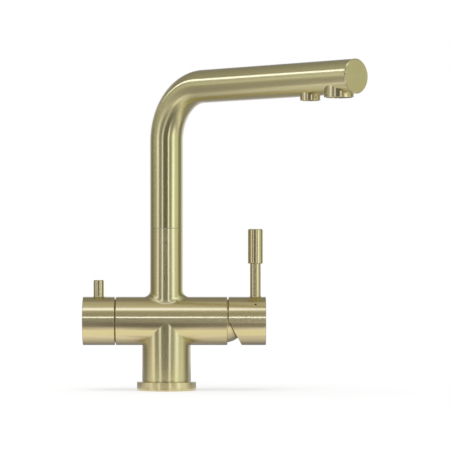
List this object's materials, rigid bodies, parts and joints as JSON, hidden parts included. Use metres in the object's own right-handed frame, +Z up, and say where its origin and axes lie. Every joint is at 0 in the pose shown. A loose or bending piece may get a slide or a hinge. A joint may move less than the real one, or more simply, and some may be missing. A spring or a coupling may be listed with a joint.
{
  "type": "three way filtered water tap",
  "caption": "Kitchen mixer tap with a crossbar body, a swivelling angled spout with two outlets, a mixer lever and a quarter-turn filtered water knob.",
  "frame": {"origin": "centre of the flange's underside, on the deck", "axes": "+Z up along the column, +X along the crossbar to the mixer handle, -Y to the user"},
  "size_m": [0.238, 0.1915, 0.2745],
  "materials": {
    "brushed_brass": "fine brushed, satin",
    "polished_brass": "polished",
    "raw_brass": "machined",
    "black_rubber": "matt",
    "acetal": "moulded",
    "grid_plastic": "moulded",
    "hose_plastic": "extruded",
    "alumina": "lapped",
    "stainless_steel": "turned",
    "red_enamel": "gloss",
    "blue_enamel": "gloss"
  },
  "bodies": {
    "root": {"tap_body": "brushed_brass", "base_flange": "brushed_brass", "base_seal": "black_rubber", "base_plug": "raw_brass", "hot_feed_pipe": "raw_brass", "cold_feed_pipe": "raw_brass", "filter_feed_pipe": "raw_brass", "mixer_seat": "raw_brass", "filter_valve_seat": "raw_brass", "mixed_riser_pipe": "raw_brass", "filtered_riser_pipe": "raw_brass", "cartridge_base": "acetal", "cartridge_port_seals": "black_rubber", "cartridge_housing": "acetal", "fixed_ceramic_disc": "alumina", "cartridge_nut": "raw_brass", "dome_cover": "polished_brass", "filter_valve_body": "raw_brass", "filter_valve_nut": "raw_brass", "filter_fixed_disc": "alumina", "neck_socket": "raw_brass", "glide_ring": "acetal", "spout_retaining_screw": "stainless_steel"},
    "spout": {"spout_tube": "brushed_brass", "spout_end_cap": "brushed_brass", "spout_hub": "raw_brass", "hub_seals": "black_rubber", "inner_filter_hose": "hose_plastic", "main_outlet_collar": "brushed_brass", "main_aerator_housing": "polished_brass", "main_aerator_grid": "grid_plastic", "filter_outlet_collar": "brushed_brass", "filter_aerator_housing": "polished_brass", "filter_aerator_grid": "grid_plastic"},
    "mixer_rotor": {"cartridge_rotor": "acetal", "spindle_pin": "stainless_steel"},
    "mixing_disc": {"moving_ceramic_disc": "alumina", "disc_carrier": "acetal"},
    "mixer_lever": {"mixer_spindle": "stainless_steel", "mixer_handle_cap": "brushed_brass", "mixer_lever_stem": "brushed_brass", "mixer_lever_grip": "brushed_brass", "mixer_grub_screw": "stainless_steel", "hot_mark": "red_enamel", "cold_mark": "blue_enamel"},
    "filter_knob": {"filter_spindle": "raw_brass", "filter_moving_disc": "alumina", "filter_knob_cap": "brushed_brass", "filter_knob_pin": "brushed_brass", "filter_grub_screw": "stainless_steel"}
  },
  "joints": [
    {"name": "spout_swivel", "type": "hinge", "parent": "root", "child": "spout", "pos_m": [0, 0, 0.1396], "axis": [0, 0, 1], "continuous": true},
    {"name": "mixer_turn", "type": "hinge", "parent": "root", "child": "mixer_rotor", "pos_m": [0.05, 0, 0.06], "axis": [1, 0, 0], "range_deg": [-50, 50]},
    {"name": "mixer_tilt", "type": "hinge", "parent": "mixer_rotor", "child": "mixer_lever", "pos_m": [0.05, 0, 0.06], "axis": [0, 1, 0], "range_deg": [0, 25]},
    {"name": "disc_slide", "type": "slide", "parent": "mixer_rotor", "child": "mixing_disc", "axis": [0, 0, 1], "range_m": [0, 0.0046]},
    {"name": "filter_turn", "type": "hinge", "parent": "root", "child": "filter_knob", "pos_m": [-0.05855, 0, 0.06], "axis": [1, 0, 0], "range_deg": [0, 90]}
  ],
  "couplings": [
    {"joint": "disc_slide", "follows": "mixer_tilt", "m_per_rad": 0.01017}
  ]
}
